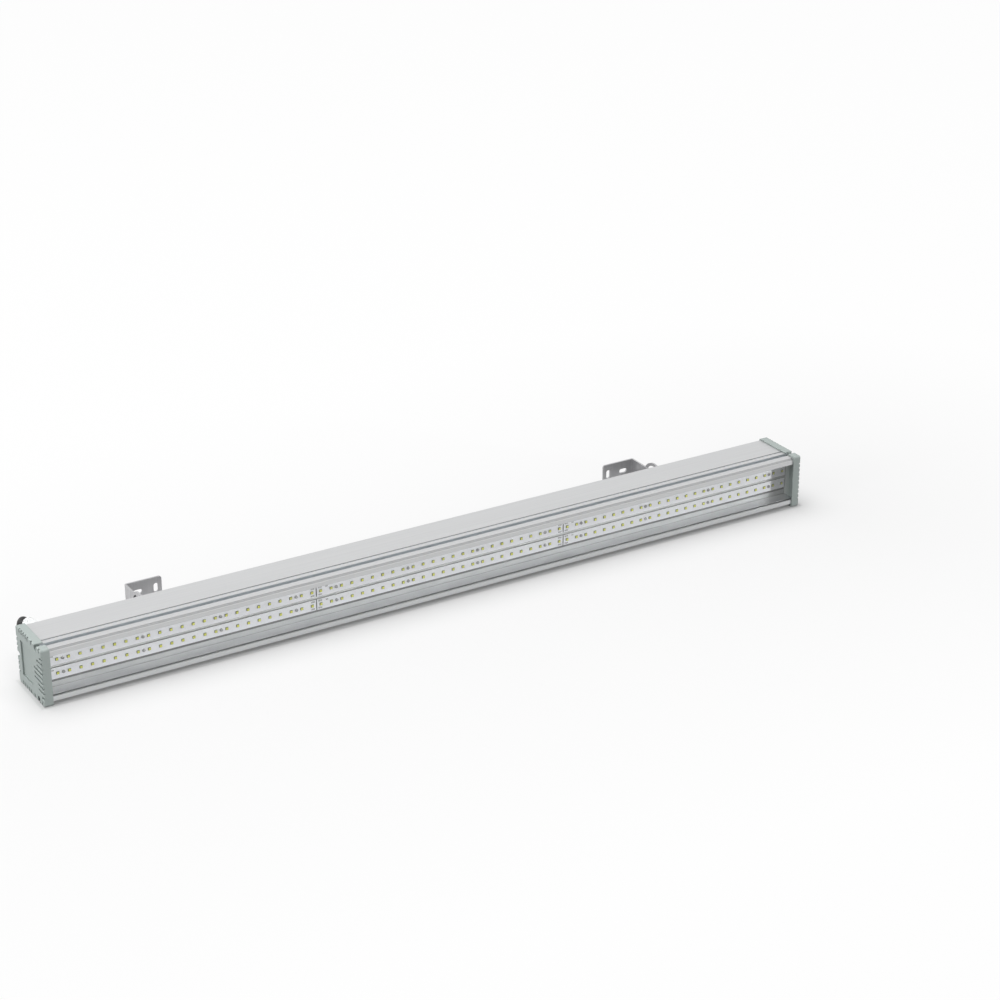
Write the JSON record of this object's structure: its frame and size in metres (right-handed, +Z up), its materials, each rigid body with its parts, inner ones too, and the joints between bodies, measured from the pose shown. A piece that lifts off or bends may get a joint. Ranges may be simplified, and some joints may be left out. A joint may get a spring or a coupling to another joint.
{
  "type": "linear led light fixture",
  "caption": "Slim linear fixture with rows of light-emitting boards behind a clear front, tilting wall brackets and a short supply cable.",
  "frame": {"origin": "under the middle of the footprint, brackets included, at the height of the end caps' lower sides", "axes": "+X along the fixture away from the cable gland, -Y the way the light leaves, +Y out of the back towards the wall face of the brackets, +Z up when the fixture lies on its lower side"},
  "size_m": [1, 0.1424, 0.0676],
  "materials": {
    "anodised_aluminium": "matt natural anodised",
    "clear_glass": "clear, polished",
    "pane_seal_rubber": "matt",
    "gasket_rubber": "matt",
    "white_board": "white solder mask, slightly glossy",
    "led_package": "yellow phosphor in a pale case",
    "small_screw_steel": "zinc plated",
    "cap_plastic": "matt moulded, grey-green",
    "driver_case": "matt moulded",
    "terminal_plastic": "matt moulded",
    "bracket_steel": "plain pressed steel sheet, zinc plated",
    "fastener_steel": "zinc plated",
    "white_nylon": "satin moulded nylon",
    "cable_sheath": "satin black sheath"
  },
  "bodies": {
    "housing": {"housing_profile": "anodised_aluminium", "front_pane": "clear_glass", "pane_seal_lower": "pane_seal_rubber", "pane_seal_upper": "pane_seal_rubber", "led_board_lower_1": "white_board", "led_board_lower_2": "white_board", "led_board_lower_3": "white_board", "led_board_upper_1": "white_board", "led_board_upper_2": "white_board", "led_board_upper_3": "white_board", "leds_lower_1": "led_package", "leds_lower_2": "led_package", "leds_lower_3": "led_package", "leds_upper_1": "led_package", "leds_upper_2": "led_package", "leds_upper_3": "led_package", "board_screws_lower": "small_screw_steel", "board_screws_upper": "small_screw_steel", "end_gasket_left": "gasket_rubber", "end_gasket_right": "gasket_rubber", "end_cap_left": "cap_plastic", "end_cap_right": "cap_plastic", "driver_tray": "anodised_aluminium", "driver": "driver_case", "driver_screws": "small_screw_steel", "terminal_block": "terminal_plastic", "base_bracket_left": "bracket_steel", "slot_bolts_left": "fastener_steel", "slot_washers_left": "fastener_steel", "slot_nuts_left": "fastener_steel", "base_bracket_right": "bracket_steel", "slot_bolts_right": "fastener_steel", "slot_washers_right": "fastener_steel", "slot_nuts_right": "fastener_steel", "gland_body": "white_nylon", "gland_nut": "white_nylon", "gland_seal": "gasket_rubber", "gland_lock_nut": "white_nylon", "supply_cable": "cable_sheath"},
    "left_arm": {"swivel_arm_left": "bracket_steel", "arm_bolts_left": "fastener_steel", "arm_washers_left": "fastener_steel", "arm_nuts_left": "fastener_steel"},
    "right_arm": {"swivel_arm_right": "bracket_steel", "arm_bolts_right": "fastener_steel", "arm_washers_right": "fastener_steel", "arm_nuts_right": "fastener_steel"}
  },
  "joints": [
    {"name": "left_arm_tilt", "type": "hinge", "parent": "housing", "child": "left_arm", "pos_m": [-0.344, 0.02467, 0.0338], "axis": [1, 0, 0], "range_deg": [-100, 100]},
    {"name": "right_arm_tilt", "type": "hinge", "parent": "housing", "child": "right_arm", "pos_m": [0.344, 0.02467, 0.0338], "axis": [1, 0, 0], "range_deg": [-100, 100]}
  ]
}
